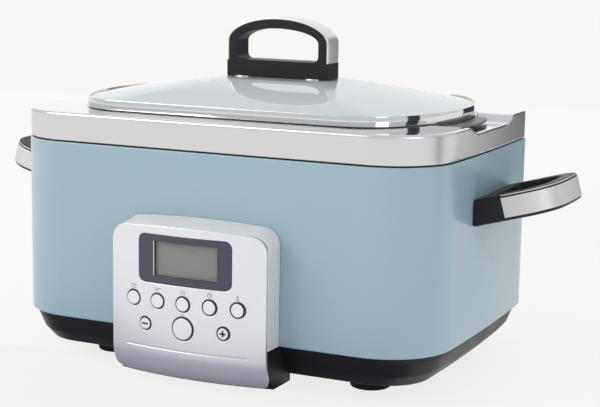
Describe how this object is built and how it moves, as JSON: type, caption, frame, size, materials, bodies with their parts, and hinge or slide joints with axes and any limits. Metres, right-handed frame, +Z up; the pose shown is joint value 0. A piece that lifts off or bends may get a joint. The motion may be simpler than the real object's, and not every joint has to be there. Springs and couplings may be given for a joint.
{
  "type": "slow cooker",
  "caption": "Rectangular countertop slow cooker with painted housing, lift-out pot, domed glass lid, side handles and a front control panel with display and keys.",
  "frame": {"origin": "middle of the whole object's footprint, at the level it stands on", "axes": "+X along the length to the right handle, -Y out of the control panel, +Z up"},
  "size_m": [0.5316, 0.3152, 0.294],
  "materials": {
    "body_paint": "light blue satin enamel on steel",
    "stainless": "fine brushed stainless steel",
    "polished_steel": "polished stainless steel",
    "black_plastic": "satin black moulded plastic",
    "panel_silver": "pearl silver painted plastic",
    "bezel_silver": "warm silver plated plastic",
    "key_silver": "satin silver painted plastic",
    "tinted_window": "dark tinted glossy plastic",
    "lcd": "grey liquid crystal display glass",
    "rubber": "black moulded rubber",
    "lid_glass": "clear tempered glass, faint green",
    "pot_metal": "cast aluminium, light non-stick coating inside",
    "cast_aluminium": "rough cast aluminium",
    "zinc_sheet": "zinc coated steel sheet",
    "screw_steel": "zinc plated steel",
    "heater_sheath": "heat-darkened steel sheath",
    "ceramic": "matt white ceramic",
    "board_green": "green solder-masked board",
    "electronics": "black moulded component bodies",
    "lead_insulation": "white glass-fibre sleeved wire",
    "ribbon_grey": "grey ribbon cable"
  },
  "bodies": {
    "housing": {"outer_shell": "body_paint", "shell_gasket": "rubber", "collar": "stainless", "inner_liner": "zinc_sheet", "heating_plate": "cast_aluminium", "heating_element": "heater_sheath", "heater_terminals": "ceramic", "sensor_housing": "cast_aluminium", "sensor_spring": "screw_steel", "thermal_fuse": "screw_steel", "heat_shield": "zinc_sheet", "base_tray": "black_plastic", "cord_gland": "black_plastic", "power_pcb": "board_green", "power_board_parts": "electronics", "heater_leads": "lead_insulation", "panel_ribbon": "ribbon_grey", "side_handle_right": "black_plastic", "side_handle_left": "black_plastic", "handle_plate_right": "polished_steel", "handle_plate_left": "polished_steel", "handle_screws": "screw_steel", "panel_housing": "black_plastic", "panel_bezel": "bezel_silver", "panel_face": "panel_silver", "display_window": "tinted_window", "lcd_module": "lcd", "control_pcb": "board_green", "tact_switches": "electronics", "panel_screws": "screw_steel", "foot_screws": "screw_steel", "base_screws": "screw_steel", "foot_front_left": "rubber", "foot_front_right": "rubber", "foot_rear_left": "rubber", "foot_rear_right": "rubber"},
    "pot": {"cooking_pot": "pot_metal"},
    "lid": {"lid_rim": "polished_steel", "lid_glass": "lid_glass", "lid_handle": "black_plastic", "lid_handle_strap": "polished_steel", "lid_handle_screws": "screw_steel", "lid_screw_washers": "polished_steel"},
    "sensor": {"temperature_sensor": "cast_aluminium"},
    "key_slow_cook": {"button_slow_cook": "key_silver"},
    "key_brown": {"button_brown": "key_silver"},
    "key_steam": {"button_steam": "key_silver"},
    "key_time": {"button_time": "key_silver"},
    "key_temp": {"button_temp": "key_silver"},
    "key_minus": {"button_minus": "key_silver"},
    "key_start": {"button_start": "key_silver"},
    "key_plus": {"button_plus": "key_silver"}
  },
  "joints": [
    {"name": "pot_lift", "type": "slide", "parent": "housing", "child": "pot", "axis": [0, 0, 1], "range_m": [0, 0.16]},
    {"name": "lid_lift", "type": "slide", "parent": "pot", "child": "lid", "axis": [0, 0, 1], "range_m": [0, 0.12]},
    {"name": "sensor_travel", "type": "slide", "parent": "housing", "child": "sensor", "axis": [0, 0, 1], "range_m": [-0.0015, 0], "stiffness_N_per_m": 1500, "deforming": ["sensor_spring"]},
    {"name": "press_slow_cook", "type": "slide", "parent": "housing", "child": "key_slow_cook", "axis": [0, 1, 0], "range_m": [0, 0.0008], "stiffness_N_per_m": 600},
    {"name": "press_brown", "type": "slide", "parent": "housing", "child": "key_brown", "axis": [0, 1, 0], "range_m": [0, 0.0008], "stiffness_N_per_m": 600},
    {"name": "press_steam", "type": "slide", "parent": "housing", "child": "key_steam", "axis": [0, 1, 0], "range_m": [0, 0.0008], "stiffness_N_per_m": 600},
    {"name": "press_time", "type": "slide", "parent": "housing", "child": "key_time", "axis": [0, 1, 0], "range_m": [0, 0.0008], "stiffness_N_per_m": 600},
    {"name": "press_temp", "type": "slide", "parent": "housing", "child": "key_temp", "axis": [0, 1, 0], "range_m": [0, 0.0008], "stiffness_N_per_m": 600},
    {"name": "press_minus", "type": "slide", "parent": "housing", "child": "key_minus", "axis": [0, 1, 0], "range_m": [0, 0.0008], "stiffness_N_per_m": 600},
    {"name": "press_start", "type": "slide", "parent": "housing", "child": "key_start", "axis": [0, 1, 0], "range_m": [0, 0.0008], "stiffness_N_per_m": 600},
    {"name": "press_plus", "type": "slide", "parent": "housing", "child": "key_plus", "axis": [0, 1, 0], "range_m": [0, 0.0008], "stiffness_N_per_m": 600}
  ]
}
